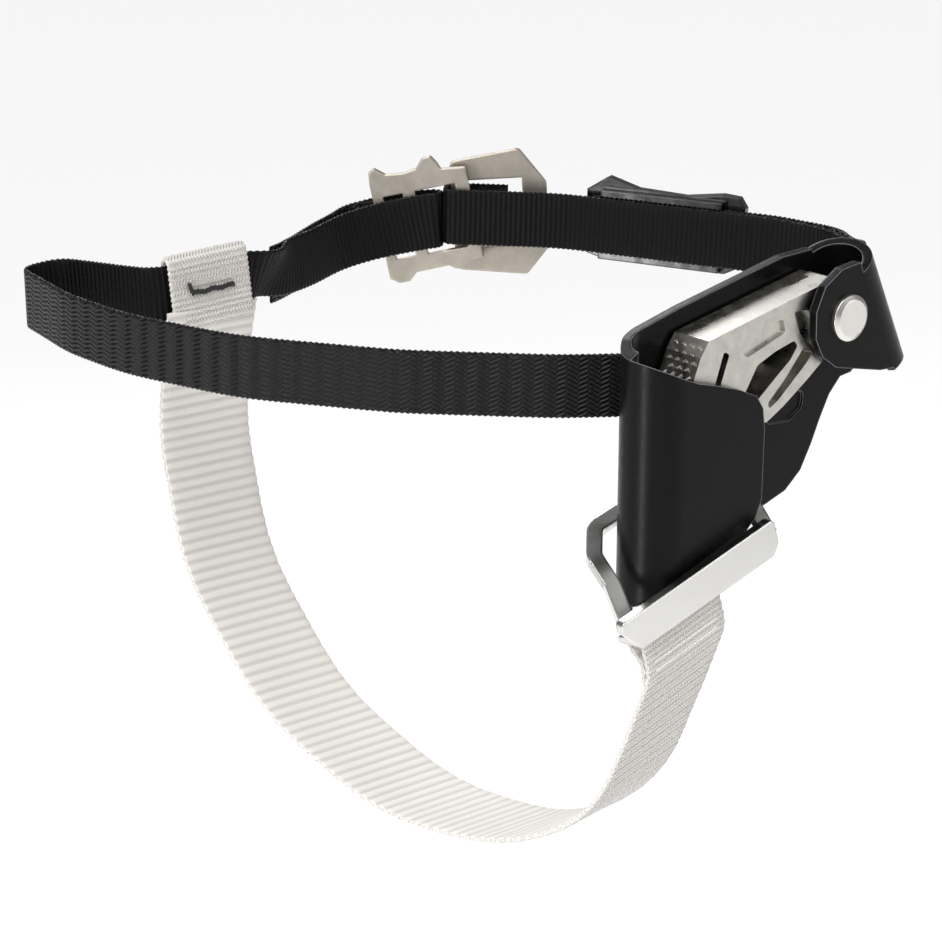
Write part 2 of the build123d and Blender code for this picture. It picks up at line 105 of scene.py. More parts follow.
class WebbingSizes(bpy.types.PropertyGroup):
    black_width: length_of("Ankle webbing width", "Width of the black webbing", 16 * MM)
    black_thickness: length_of("Ankle webbing thickness", "Thickness of the black webbing", 1.3 * MM)
    white_width: length_of("Instep webbing width", "Width of the white webbing", 28 * MM)
    white_thickness: length_of("Instep webbing thickness", "Thickness of the white webbing", 1.4 * MM)
    rib_pitch: length_of("Rib pitch", "Distance between the ribs that the weft makes on the inner face", 1.45 * MM)
    rib_height: length_of("Rib height", "Height of those ribs", 0.16 * MM)
    edge_scallop: length_of("Edge scallop", "How far the weft's turns stand out of the edges", 0.14 * MM)
    thread: length_of("Thread", "Radius of the sewing thread", 0.26 * MM)


class FinishColours(bpy.types.PropertyGroup):
    anodised: colour_of("Anodised plate", "Dyed oxide on the folded plate", "#0B0B0C")
    cam_steel: colour_of("Cam", "Cast stainless of the cam", "#BDBAB4")
    link_steel: colour_of("Link", "Polished stainless of the instep link", "#D2D1CE")
    buckle_steel: colour_of("Buckle", "Blasted stainless of the buckle", "#BDB5AA")
    black_yarn: colour_of("Black yarn", "Polyester yarn of the ankle strap", "#080809")
    white_yarn: colour_of("White yarn", "Polyamide yarn of the instep strap", "#D6D2CD")
    black_plastic: colour_of("Clip", "Moulded polyamide of the strap clip", "#070708")
    backdrop: colour_of("Backdrop", "Painted studio floor", "#FAFAFA")


class StudioSettings(bpy.types.PropertyGroup):
    floor_drop: length_of("Floor drop", "How far the floor lies under the instep strap", 0.6)
    key: FloatProperty(name="Key light", description="Strength of the broad light from above", default=2.9, min=0)
    strip: FloatProperty(
        name="Strip light", description="Power of the tall light at the left", default=8.0, unit="POWER"
    )
    fill: FloatProperty(name="Fill light", description="Power of the light at the right", default=9.0, unit="POWER")
    rim: FloatProperty(name="Rim light", description="Power of the light behind", default=14.0, unit="POWER")
    sky: FloatProperty(name="Room light", description="Strength of the even light in the room", default=0.24, min=0)


# ---------------------------------------------------------------- materials


def add(tree, kind, links=None, **settings):
    """Adds a node, sets its inputs and properties by name, and links sockets into its inputs."""
    made = tree.nodes.new(kind)
    for name, value in settings.items():
        slot = name.replace("_", " ")
        if hasattr(made, name):
            setattr(made, name, value)
        elif slot in made.inputs:
            made.inputs[slot].default_value = value
        else:
            made.inputs[int(name[1:])].default_value = value
    for name, socket in (links or {}).items():
        tree.links.new(socket, made.inputs[name])
    return made


def new_material(name, colour, metallic, roughness, **extra):
    """A material with one Principled shader, whose constants are set on its own sockets."""
    material = bpy.data.materials.new(name)
    material.use_nodes = True
    material.diffuse_color = (*colour, 1)
    tree = material.node_tree
    shader = tree.nodes["Principled BSDF"]
    shader.inputs["Base Color"].default_value = (*colour, 1)
    shader.inputs["Metallic"].default_value = metallic
    shader.inputs["Roughness"].default_value = roughness
    for key, value in extra.items():
        shader.inputs[key.replace("_", " ")].default_value = value
    return material, tree, shader


def grain(tree, size, detail=3.0):
    """Noise on Object coordinates whose spots are about the given size across, in metres."""
    where = add(tree, "ShaderNodeTexCoord")
    return add(
        tree, "ShaderNodeTexNoise", {"Vector": where.outputs["Object"]},
        Scale=1 / size, Detail=detail, Roughness=0.55,
    )


def spread(tree, socket, low, high):
    """The noise socket mapped to low to high."""
    made = add(tree, "ShaderNodeMapRange", {"Value": socket}, From_Min=0.3, From_Max=0.7)
    made.inputs["To Min"].default_value = low
    made.inputs["To Max"].default_value = high
    return made.outputs["Result"]


def relief(tree, shader, height, depth, edge=None):
    """Bumps the surface by the height socket times depth, over edges rounded to the given radius."""
    links = {"Height": height}
    if edge:
        rounded_edge = add(tree, "ShaderNodeBevel", Radius=edge, samples=6)
        links["Normal"] = rounded_edge.outputs["Normal"]
    bump = add(tree, "ShaderNodeBump", links, Strength=1.0, Distance=depth)
    tree.links.new(bump.outputs["Normal"], shader.inputs["Normal"])


def scaled(colour, factor):
    """A colour made darker or lighter, held at full white."""
    return tuple(min(1, c * factor) for c in colour)


def two_tone(tree, shader, factor, dark, light):
    """Sets the base colour between two colours by the factor socket."""
    mix = add(tree, "ShaderNodeMix", {"Factor": factor}, data_type="RGBA")
    low, high = (socket for socket in mix.inputs if socket.type == "RGBA")
    low.default_value, high.default_value = (*dark, 1), (*light, 1)
    mixed = next(socket for socket in mix.outputs if socket.type == "RGBA")
    tree.links.new(mixed, shader.inputs["Base Color"])


def tinted(tree, shader, colour, socket, low, high):
    """Varies the base colour's brightness between low and high with the socket."""
    two_tone(tree, shader, spread(tree, socket, 0.0, 1.0), scaled(colour, low), scaled(colour, high))


def black_anodised_aluminium(colour):
    # Pressed sheet, tumbled and dyed black: a satin skin with soft broad highlights, and a painted highlight that
    # lightens the edges.
    material, tree, shader = new_material("black_anodised_aluminium", colour, 0.0, 0.28, Specular_IOR_Level=0.12)
    spots = grain(tree, 2.2 * MM)
    tree.links.new(spread(tree, spots.outputs["Fac"], 0.26, 0.36), shader.inputs["Roughness"])
    fine = grain(tree, 0.25 * MM, 2.0)
    relief(tree, shader, fine.outputs["Fac"], 0.006 * MM, edge=0.9 * MM)
    # painted highlight on the edges: lighter where the rounded normal leaves the flat one
    soft = add(tree, "ShaderNodeBevel", Radius=0.45 * MM, samples=8)
    flat = add(tree, "ShaderNodeNewGeometry")
    dot = add(tree, "ShaderNodeVectorMath", {0: soft.outputs["Normal"], 1: flat.outputs["Normal"]},
              operation="DOT_PRODUCT")
    painted_edge_highlight = add(tree, "ShaderNodeMapRange", {"Value": dot.outputs["Value"]}, From_Min=0.985, From_Max=0.86)
    # the painted edge highlight mixes the plate's colour towards light grey
    two_tone(tree, shader, painted_edge_highlight.outputs["Result"], colour, linear("#7C7C80"))
    return material


def cast_stainless(colour):
    # Investment cast and tumbled: bright satin with a slightly uneven skin.
    material, tree, shader = new_material("cast_stainless", colour, 1.0, 0.3)
    patches = grain(tree, 3.0 * MM)
    tree.links.new(spread(tree, patches.outputs["Fac"], 0.24, 0.38), shader.inputs["Roughness"])
    tinted(tree, shader, colour, patches.outputs["Fac"], 0.88, 1.05)
    skin = grain(tree, 0.5 * MM)
    relief(tree, shader, skin.outputs["Fac"], 0.002 * MM)
    return material


def polished_stainless(colour):
    # Pressed and polished: near mirror, with edges rolled over and faint waves from the wheel.
    material, tree, shader = new_material("polished_stainless", colour, 1.0, 0.14)
    waves = grain(tree, 6.0 * MM, 1.0)
    tree.links.new(spread(tree, waves.outputs["Fac"], 0.1, 0.2), shader.inputs["Roughness"])
    relief(tree, shader, waves.outputs["Fac"], 0.05 * MM, edge=0.7 * MM)
    return material


def blasted_stainless(colour):
    # Pressed sheet, bead blasted: a matte warm grey with a fine grain.
    material, tree, shader = new_material("blasted_stainless", colour, 1.0, 0.42)
    patches = grain(tree, 4.0 * MM)
    tinted(tree, shader, colour, patches.outputs["Fac"], 0.86, 1.06)
    grit = grain(tree, 0.3 * MM)
    tree.links.new(spread(tree, grit.outputs["Fac"], 0.36, 0.5), shader.inputs["Roughness"])
    relief(tree, shader, grit.outputs["Fac"], 0.012 * MM, edge=0.8 * MM)
    return material


def turned_stainless(colour):
    # Faced on a lathe: fine rings round the pivot, drawn 0.35 mm apart, coarser than real, so that they show.
    material, tree, shader = new_material("turned_stainless", colour, 1.0, 0.3)
    where = add(tree, "ShaderNodeTexCoord")
    centred = add(tree, "ShaderNodeMapping", {"Vector": where.outputs["Object"]}, vector_type="POINT")
    centred.inputs["Location"].default_value = (-PIVOT.x, 0, -PIVOT.z)
    centred.inputs["Scale"].default_value = (1, 0, 1)
    radius = add(tree, "ShaderNodeVectorMath", {0: centred.outputs["Vector"]}, operation="LENGTH")
    turns = add(tree, "ShaderNodeMath", {0: radius.outputs["Value"]}, operation="MULTIPLY", _1=2 * pi / (0.35 * MM))
    rings = add(tree, "ShaderNodeMath", {0: turns.outputs["Value"]}, operation="SINE")
    relief(tree, shader, rings.outputs["Value"], 0.004 * MM, edge=0.3 * MM)
    return material


def glossy_polyamide(colour):
    # Moulded in a polished tool: deep gloss with faint sink waves.
    material, tree, shader = new_material("glossy_polyamide", colour, 0.0, 0.16, IOR=1.53)
    waves = grain(tree, 5.0 * MM, 1.0)
    relief(tree, shader, waves.outputs["Fac"], 0.06 * MM, edge=0.8 * MM)
    return material


def plain_metal(name, colour, roughness):
    # Small inner pieces: a machined surface with a fine grain.
    material, tree, shader = new_material(name, colour, 1.0, roughness)
    fine = grain(tree, 0.4 * MM)
    relief(tree, shader, fine.outputs["Fac"], 0.008 * MM, edge=0.2 * MM)
    return material


def moulded_acetal(colour):
    # Washers: a dull black plastic.
    material, tree, shader = new_material("moulded_acetal", colour, 0.0, 0.5)
    fine = grain(tree, 0.3 * MM)
    relief(tree, shader, fine.outputs["Fac"], 0.01 * MM, edge=0.2 * MM)
    return material


def woven(name, colour, spacing, column, slant, roughness, sheen, shade, gloss=0.5):
    """Webbing seen up close, from its UV map in metres: floats of warp yarn a spacing apart across the web,
    which zigzag along it with the given column length and slant, so that they read as a herringbone."""
    material, tree, shader = new_material(name, colour, 0.0, roughness, Specular_IOR_Level=gloss)
    shader.inputs["Sheen Weight"].default_value = sheen
    shader.inputs["Sheen Roughness"].default_value = 0.4
    where = add(tree, "ShaderNodeUVMap", uv_map="web")
    split = add(tree, "ShaderNodeSeparateXYZ", {"Vector": where.outputs["UV"]})
    zigzag = add(tree, "ShaderNodeMath", {0: split.outputs["X"]}, operation="PINGPONG", _1=column)
    lean = add(tree, "ShaderNodeMath", {0: zigzag.outputs["Value"]}, operation="MULTIPLY", _1=slant)
    place = add(tree, "ShaderNodeMath", {0: split.outputs["Y"], 1: lean.outputs["Value"]}, operation="ADD")
    phase = add(tree, "ShaderNodeMath", {0: place.outputs["Value"]}, operation="MULTIPLY", _1=2 * pi / spacing)
    yarns = add(tree, "ShaderNodeMath", {0: phase.outputs["Value"]}, operation="SINE")
    step = add(tree, "ShaderNodeMath", {0: split.outputs["X"]}, operation="MULTIPLY", _1=pi / column)
    turn = add(tree, "ShaderNodeMath", {0: step.outputs["Value"]}, operation="SINE")
    float_over = add(tree, "ShaderNodeMath", {0: turn.outputs["Value"]}, operation="ABSOLUTE")
    height = add(
        tree,
        "ShaderNodeMath",
        {0: yarns.outputs["Value"], 1: float_over.outputs["Value"]},
        operation="MULTIPLY",
    )
    fuzz = grain(tree, 0.35 * MM, 2.0)
    both = add(
        tree, "ShaderNodeMath", {0: fuzz.outputs["Fac"], 2: height.outputs["Value"]}, operation="MULTIPLY_ADD"
    )
    both.inputs[1].default_value = 0.7
    relief(tree, shader, both.outputs["Value"], 0.24 * MM)
    lit = add(tree, "ShaderNodeMapRange", {"Value": height.outputs["Value"]}, From_Min=-1.0, From_Max=1.0)
    two_tone(tree, shader, lit.outputs["Result"], scaled(colour, shade), scaled(colour, 1.12))
    return material


def ribbed(name, colour, sheen, roughness, pitch, shade, gloss=0.5):
    """The ribbed inner face: the ribs are in the mesh, and the fine yarns across them are 0.5 mm apart."""
    material, tree, shader = new_material(name, colour, 0.0, roughness, Specular_IOR_Level=gloss)
    shader.inputs["Sheen Weight"].default_value = sheen
    shader.inputs["Sheen Roughness"].default_value = 0.4
    where = add(tree, "ShaderNodeUVMap", uv_map="web")
    split = add(tree, "ShaderNodeSeparateXYZ", {"Vector": where.outputs["UV"]})
    phase = add(tree, "ShaderNodeMath", {0: split.outputs["Y"]}, operation="MULTIPLY", _1=2 * pi / (0.5 * MM))
    yarns = add(tree, "ShaderNodeMath", {0: phase.outputs["Value"]}, operation="SINE")
    fuzz = grain(tree, 0.3 * MM, 2.0)
    both = add(
        tree, "ShaderNodeMath", {0: fuzz.outputs["Fac"], 2: yarns.outputs["Value"]}, operation="MULTIPLY_ADD"
    )
    both.inputs[1].default_value = 1.5
    relief(tree, shader, both.outputs["Value"], 0.03 * MM)
    along = add(tree, "ShaderNodeMath", {0: split.outputs["X"]}, operation="MULTIPLY", _1=2 * pi / pitch)
    crest = add(tree, "ShaderNodeMath", {0: along.outputs["Value"]}, operation="COSINE")
    lit = add(tree, "ShaderNodeMapRange", {"Value": crest.outputs["Value"]}, From_Min=-1.0, From_Max=0.4)
    two_tone(tree, shader, lit.outputs["Result"], scaled(colour, shade), scaled(colour, 1.1))
    return material


def bonded_thread(name, colour):
    # Bonded polyester sewing thread: round, faintly glossy.
    material, tree, shader = new_material(name, colour, 0.0, 0.5)
    shader.inputs["Sheen Weight"].default_value = 0.2
    twist = grain(tree, 0.2 * MM, 1.0)
    relief(tree, shader, twist.outputs["Fac"], 0.03 * MM)
    return material


# ---------------------------------------------------------------- shapes


def rounded(points, radii, step):
    """A line through 3-D points, straight between tangent arcs of the given radii, sampled evenly.
    An arc leaves its first run at A along t, and turns towards n: A + t r sin(a) + n r (1 - cos(a))."""
    points = [np.array(p, float) for p in points]
    parts = [points[0][None]]
    for before, corner, after, r in zip(points, points[1:], points[2:], radii):
        t = (corner - before) / np.linalg.norm(corner - before)
        away = (after - corner) / np.linalg.norm(after - corner)
        turn = np.arccos(np.clip(t @ away, -1, 1))
        if turn < 1e-4:
            continue
        room = 0.48 * min(np.linalg.norm(corner - before), np.linalg.norm(after - corner))
        r = min(r, room / np.tan(turn / 2))
        n = away - (away @ t) * t
        n /= np.linalg.norm(n)
        a = np.linspace(0, turn, max(4, int(np.ceil(turn / 0.12))))[:, None]
        parts.append(corner - t * r * np.tan(turn / 2) + t * r * np.sin(a) + n * r * (1 - np.cos(a)))
    parts.append(points[-1][None])
    return even(np.vstack(parts), step)


def lengths(line):
    """The length along a line at each of its points."""
    return np.concatenate([[0], np.cumsum(np.linalg.norm(np.diff(line, axis=0), axis=1))])


def even(line, step):
    """The same line with points an even step apart."""
    s = lengths(line)
    t = np.linspace(0, s[-1], max(3, int(round(s[-1] / step)) + 1))
    return np.stack([np.interp(t, s, line[:, k]) for k in range(3)], axis=1)


def smooth(values, width):
    """Running mean over an odd number of samples, with the ends held."""
    width = max(3, width | 1)
    padded = np.pad(values, ((width // 2, width // 2), (0, 0)), mode="edge")
    kernel = np.ones(width) / width
    return np.stack([np.convolve(padded[:, k], kernel, mode="valid") for k in range(values.shape[1])], axis=1)


def unit(vectors):
    return vectors / np.linalg.norm(vectors, axis=-1, keepdims=True)


def new_mesh(name, points, faces, body, materials, uv=None, material_index=None):
    """Makes a smooth-shaded object from whole arrays and lets it ride on a body."""
    mesh = bpy.data.meshes.new(name)
    mesh.from_pydata(points, [], faces)
    mesh.polygons.foreach_set("use_smooth", np.ones(len(faces), bool))
    for material in materials:
        mesh.materials.append(material)
    if material_index is not None:
        mesh.polygons.foreach_set("material_index", material_index.astype(np.int32))
    if uv is not None:
        corner = np.array(faces).ravel()
        layer = mesh.uv_layers.new(name="web")
        layer.data.foreach_set("uv", uv[corner].astype(np.float32).ravel())
    mesh.update()
    piece = bpy.data.objects.new(name, mesh)
    bpy.context.scene.collection.objects.link(piece)
    if body:
        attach(piece, body)
    return piece


FACE_POINTS = 11
EDGE_POINTS = 4


def ribbon_mesh(centre, across, width, thickness, pitch, rib, scallop, inner_side):
    """A web of even thickness along a line: point(u, v) = centre(u) + across(u) w(v) + out(u) o(v), where (w, o)
    runs round a flat section with half-round edges. The inner face is raised by rib cos(2 pi u / pitch), and
    the edges by scallop times the same wave. Returns points, faces, UVs in metres and each face's side."""
    s = lengths(centre)
    along = unit(np.gradient(centre, axis=0))
    across = unit(across)
    out = unit(np.cross(along, across))
    r = thickness / 2
    flat = np.linspace(-(width / 2 - r), width / 2 - r, FACE_POINTS)
    turn = np.linspace(-pi / 2, pi / 2, EDGE_POINTS + 2)[1:-1]
    w = np.concatenate([flat, width / 2 - r + r * np.cos(turn), flat[::-1], -(width / 2 - r) - r * np.cos(turn)])
    o = np.concatenate([np.full(FACE_POINTS, -r), r * np.sin(turn), np.full(FACE_POINTS, r), -r * np.sin(turn)])
    wave = np.cos(2 * pi * s / pitch)
    soft = np.clip(np.abs(w) / (width / 2), 0, 1)
    inner = (np.sign(o) == inner_side) & (np.abs(o) > r * 0.99)
    side = np.zeros(len(w), bool)
    side[FACE_POINTS : FACE_POINTS + EDGE_POINTS] = True
    side[2 * FACE_POINTS + EDGE_POINTS :] = True
    ends = np.clip(np.minimum(s, s[-1] - s) / (1.2 * MM), 0, 1)
    lift = rib * wave[:, None] * inner[None] * (1 - 0.5 * soft**6)[None] * inner_side
    w_all = w[None] + (scallop * wave)[:, None] * side[None] * np.sign(w)[None]
    o_all = (o[None] + lift) * (0.55 + 0.45 * ends)[:, None]
    points = centre[:, None] + across[:, None] * w_all[..., None] + out[:, None] * o_all[..., None]
    n, m = len(centre), len(w)
    i, j = np.meshgrid(np.arange(n - 1), np.arange(m), indexing="ij")
    k = (j + 1) % m
    faces = np.stack([i * m + j, i * m + k, (i + 1) * m + k, (i + 1) * m + j], axis=-1).reshape(-1, 4)
    uv = np.stack([np.broadcast_to(s[:, None], (n, m)), np.broadcast_to(w[None], (n, m))], axis=-1).reshape(-1, 2)
    on_inner = inner[j.ravel()] | inner[k.ravel()]
    # each end is closed by a fan of quads between the two faces
    caps = []
    for row, flip in ((0, False), (n - 1, True)):
        for q in range((m - 2) // 2):
            a, b = q, q + 1
            c, d = (m - 2 - q), (m - 1 - q)
            quad = [row * m + a, row * m + d, row * m + c, row * m + b]
            caps.append(quad[::-1] if flip else quad)
    faces = np.vstack([faces, np.array(caps)])
    index = np.concatenate([on_inner, np.ones(len(caps), bool)])
    return points.reshape(-1, 3), faces, uv, index


def tube_mesh(line, radius, sides=6):
    """A round thread along a line: line(u) + radius (side cos(v) + up sin(v)), closed at both ends."""
    along = unit(np.gradient(line, axis=0))
    guide = np.where(np.abs(along[:, :1]) < 0.9, [[1.0, 0, 0]], [[0, 1.0, 0]])
    side = unit(np.cross(along, guide))
    up = np.cross(along, side)
    v = np.linspace(0, 2 * pi, sides, endpoint=False)
    ring = side[:, None] * np.cos(v)[None, :, None] + up[:, None] * np.sin(v)[None, :, None]
    points = (line[:, None] + radius * ring).reshape(-1, 3)
    n = len(line)
    i, j = np.meshgrid(np.arange(n - 1), np.arange(sides), indexing="ij")
    k = (j + 1) % sides
    faces = [list(map(int, f)) for f in np.stack(
        [i * sides + j, i * sides + k, (i + 1) * sides + k, (i + 1) * sides + j], axis=-1).reshape(-1, 4)]
    faces.append(list(range(sides))[::-1])
    faces.append([(n - 1) * sides + q for q in range(sides)])
    return points, faces


def upward(piece):
    """Turns a closed piece's faces outwards if its volume says that they point in."""
    mesh = piece.data
    mesh.calc_loop_triangles()
    corners = np.zeros(len(mesh.loop_triangles) * 3, np.int32)
    mesh.loop_triangles.foreach_get("vertices", corners)
    co = np.zeros(len(mesh.vertices) * 3)
    mesh.vertices.foreach_get("co", co)
    a, b, c = co.reshape(-1, 3)[corners.reshape(-1, 3)].transpose(1, 0, 2)
    if np.einsum("ij,ij->i", a, np.cross(b, c)).sum() < 0:
        mesh.flip_normals()
    return piece


# ---------------------------------------------------------------- the straps' lines, in millimetres

BUCKLE_AT = (38.7, 125.9)
BUCKLE_ALONG = (0.7507, -0.6606)


def on_buckle(along, out):
    x, y = BUCKLE_ALONG
    return (BUCKLE_AT[0] + along * x - out * y, BUCKLE_AT[1] + along * y + out * x)


LONG_LINE = [(9, 11.9), (21, 11.9), (28.2, 15.9), (38.2, 15.9), (38.2, 10.35), (4, 10.35), (-14.5, 20.8),
             (-44.3, 45.0), (-70.4, 76.0), (-83.6, 108), (-86.8, 132), (-84.6, 161.5), (-72.5, 161.5),
             (-62, 130.1), (-31.5, 126.7), (-13, 136.5), on_buckle(-32, 0), on_buckle(-6.92, 0),
             on_buckle(-6.92, 4.6), on_buckle(-27, 4.6), on_buckle(-34.5, 2.6), (-13.6, 139.3), (-22, 135.2)]
LONG_RADII = [8, 5, 2.6, 2.6, 12, 60, 60, 60, 60, 60, 5.5, 5.5, 8, 10, 24, 20, 2.2, 2.2, 12, 8, 14]
LONG_FRONT = (19.52, 0.0435)
LONG_RISE = [(-96, 25.3), (-34, 30.9), (-10, 29.4), (12, 31.9), (48, 41.0)]
SEAM_Y = 144.5
# the long strap's sewn tail: how far it hangs below its web, and over what length it drops
TAIL_DROP, TAIL_LENGTH = 2.0, 26
# the long strap's twist beside the keeper: its place along X, its angle and its spread along the web
TWIST_X, TWIST_ANGLE, TWIST_SPREAD = -27, radians(30), 8.5

SHORT_LINE = [on_buckle(12, 8.9), on_buckle(-5.57, 8.9), on_buckle(-5.57, 0), (59.2, 107.8),
              (89.2, 52.7), (93.5, 34)]
SHORT_BACK = [(96.6, 33.5), (91.9, 53.6), (65.8, 101.5)]
SHORT_LEVEL = (33.66, 0.034)
EAR_ORIGIN = (66.0, 0.0, 29.6)
EAR_LEAN = radians(25.9)
EAR_LOOP = [(19.0, 7.2), (4.3, 1.7), (0.7, 4.6), (0.7, 11.4), (13, 12.0), (20.2, 10.4)]
SHORT_RADII = [1.7, 1.7, 40, 22, 20, 14, 2.0, 1.6, 1.6, 8, 14, 22, 24]

LINK_TOP = (2.1, -13.5, -21.1)
LINK_TILT = radians(17.9)
SLOT_MID = -5.6
INSTEP_LINE = [(126.9, 24.5), (128.6, 16.0), (131.5, -10), (125, -48), (101, -84), (66, -104.2), (30, -104.5),
               (5.5, -87), (-3.4, -60), (-8.2, -44)]
INSTEP_RADII = [12, 60, 60, 60, 60, 60, 60, 60, 30, 14, 1.0, 1.0, 1.4, 5, 8]
BAR_LINE = [(4.55, -16), (4.55, -7.37), (9.9, -8.12), (9.9, -13.9), (6.5, -19.0), (7.7, -25.4)]


def on_level(x, y):
    """A point at the short strap's mid height, which rises a little towards the buckle."""
    return (x, y, SHORT_LEVEL[0] + SHORT_LEVEL[1] * y)


def in_ear(x, y, z=-1.2):
    """A point of the ear's own frame, which leans about Y."""
    c, s = cos(EAR_LEAN), sin(EAR_LEAN)
    return (EAR_ORIGIN[0] + x * c - z * s, EAR_ORIGIN[1] + y, EAR_ORIGIN[2] + x * s + z * c)


def on_link(x, y, z):
    """A point of the link's own frame, which tilts with its lip."""
    c, s = cos(LINK_TILT), sin(LINK_TILT)
    return (LINK_TOP[0] + x * c - z * s, LINK_TOP[1] + y, LINK_TOP[2] + x * s + z * c)


def web_piece(name, line_mm, across, width, thickness, body, materials, inner_side, sizes, nodes):
    """Builds one strap from its line and makes it stand for its CAD nodes."""
    points, faces, uv, index = ribbon_mesh(
        line_mm * MM, across, width, thickness, sizes.rib_pitch, sizes.rib_height, sizes.edge_scallop, inner_side
    )
    piece = new_mesh(name, points, faces.tolist(), body, materials, uv, index)
    upward(piece)
    if nodes:
        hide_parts(*nodes)
    return piece


def zigzag(start, along, up, length, height, pitch):
    """A dense bar of stitches: start + along u, swinging by half the height to each side along up."""
    count = int(round(length / pitch)) * 2 + 1
    u = np.linspace(0, length, count)
    swing = np.where(np.arange(count) % 2, 0.5, -0.5) * height
    return np.array(start) + u[:, None] * np.array(along) + swing[:, None] * np.array(up)


def sew(name, lines, radius, body, material, node):
    """Joins several threads into one piece that stands for its CAD node."""
    all_points, all_faces, base = [], [], 0
    for line in lines:
        points, faces = tube_mesh(even(line * MM, 0.25 * MM), radius)
        all_points.append(points)
        all_faces += [[base + v for v in face] for face in faces]
        base += len(points)
    piece = new_mesh(name, np.vstack(all_points), all_faces, body, [material])
    upward(piece)
    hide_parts(node)
    return piece


# ---------------------------------------------------------------- operators


class ASCENDER_OT_metal(bpy.types.Operator):
    """Gives the plate, cam, pivot, link, buckle and clip their finishes"""

    bl_idname = "ascender.metal"
    bl_label = "Metal and plastic finishes"

    def execute(self, context):
        c = context.scene.ascender_colours
        finishes = {
            "frame_plate": black_anodised_aluminium(tuple(c.anodised)),
            "cam": cast_stainless(tuple(c.cam_steel)),
            "cam_rivet": turned_stainless(linear("#D9D7D2")),
            "instep_link": polished_stainless(tuple(c.link_steel)),
            "buckle_base": blasted_stainless(tuple(c.buckle_steel)),
            "strap_slider": glossy_polyamide(tuple(c.black_plastic)),
            "cam_bushing": plain_metal("turned_brass", linear("#B8924E"), 0.3),
            "cam_spring": plain_metal("spring_steel", linear("#9A9A98"), 0.32),
            "cam_washers": moulded_acetal(linear("#1C1C1C")),
        }
        finishes["rivet_washer"] = finishes["cam_rivet"]
        finishes["buckle_slider"] = finishes["buckle_base"]
        for node, material in finishes.items():
            for place in frame["nodes"][node].material_slots:
                place.material = material
        return {"FINISHED"}


class ASCENDER_OT_ankle_straps(bpy.types.Operator):
    """Weaves the long and the short ankle strap"""

    bl_idname = "ascender.ankle_straps"
    bl_label = "Ankle straps"

    def execute(self, context):
        sizes, colours = context.scene.ascender_sizes, context.scene.ascender_colours
        yarn = tuple(colours.black_yarn)
        materials = [
            woven("black_herringbone", yarn, 1.2 * MM, 2.7 * MM, 0.33, 0.36, 0.0, 0.1, 0.22),
            ribbed("black_ribbed", yarn, 0.0, 0.5, sizes.rib_pitch, 0.2, 0.13),
        ]
        line = rounded([(x, y, 0) for x, y in LONG_LINE], LONG_RADII, 0.3)
        rise = np.interp(line[:, 0], *np.array(LONG_RISE).T)
        front = LONG_FRONT[0] + LONG_FRONT[1] * line[:, 1]
        rear = np.arange(len(line)) > np.argmax(line[:, 1] > SEAM_Y)
        line[:, 2] = smooth(np.where(rear, rise, front)[:, None], 61)[:, 0]
        # the sewn tail hangs a little lower than the web that it lies on
        tail = np.clip(1 - (lengths(line)[-1] - lengths(line)) / TAIL_LENGTH, 0, 1)
        line[:, 2] -= TAIL_DROP * tail * tail * (3 - 2 * tail)
        # between the keeper and the buckle the web turns its top edge towards the front
        s = lengths(line)
        other_runs = 10 * (line[:, 1] > 132) + 50 * (line[:, 1] < 100)
        twist_at = s[np.argmin(np.abs(line[:, 0] - TWIST_X) + other_runs)]
        twist = TWIST_ANGLE * np.exp(-(((s - twist_at) / TWIST_SPREAD) ** 2))
        along = unit(np.gradient(line, axis=0))
        level = unit(np.cross(np.array([0, 0, 1.0]), along))
        across = np.cos(twist)[:, None] * np.array([0, 0, 1.0]) - np.sin(twist)[:, None] * level
        across = unit(across - (across * along).sum(1, keepdims=True) * along)
        web_piece("ankle_strap_long_web", line, across, sizes.black_width, sizes.black_thickness, "frame",
                  materials, 1, sizes, ["ankle_strap_long"])

        corners = [on_level(*p) for p in SHORT_LINE] + [in_ear(*p) for p in EAR_LOOP]
        corners += [on_level(*p) for p in SHORT_BACK]
        line = rounded(corners, SHORT_RADII, 0.3)
        reach = np.clip((40 - line[:, 1]) / 25, 0, 1)
        lean = reach * reach * (3 - 2 * reach) * EAR_LEAN
        up = np.stack([-np.sin(lean), np.zeros(len(line)), np.cos(lean)], axis=1)
        along = unit(np.gradient(line, axis=0))
        across = unit(up - (up * along).sum(1, keepdims=True) * along)
        web_piece("ankle_strap_short_web", line, across, sizes.black_width, sizes.black_thickness, "frame",
                  materials, 1, sizes, ["ankle_strap_short"])
        return {"FINISHED"}


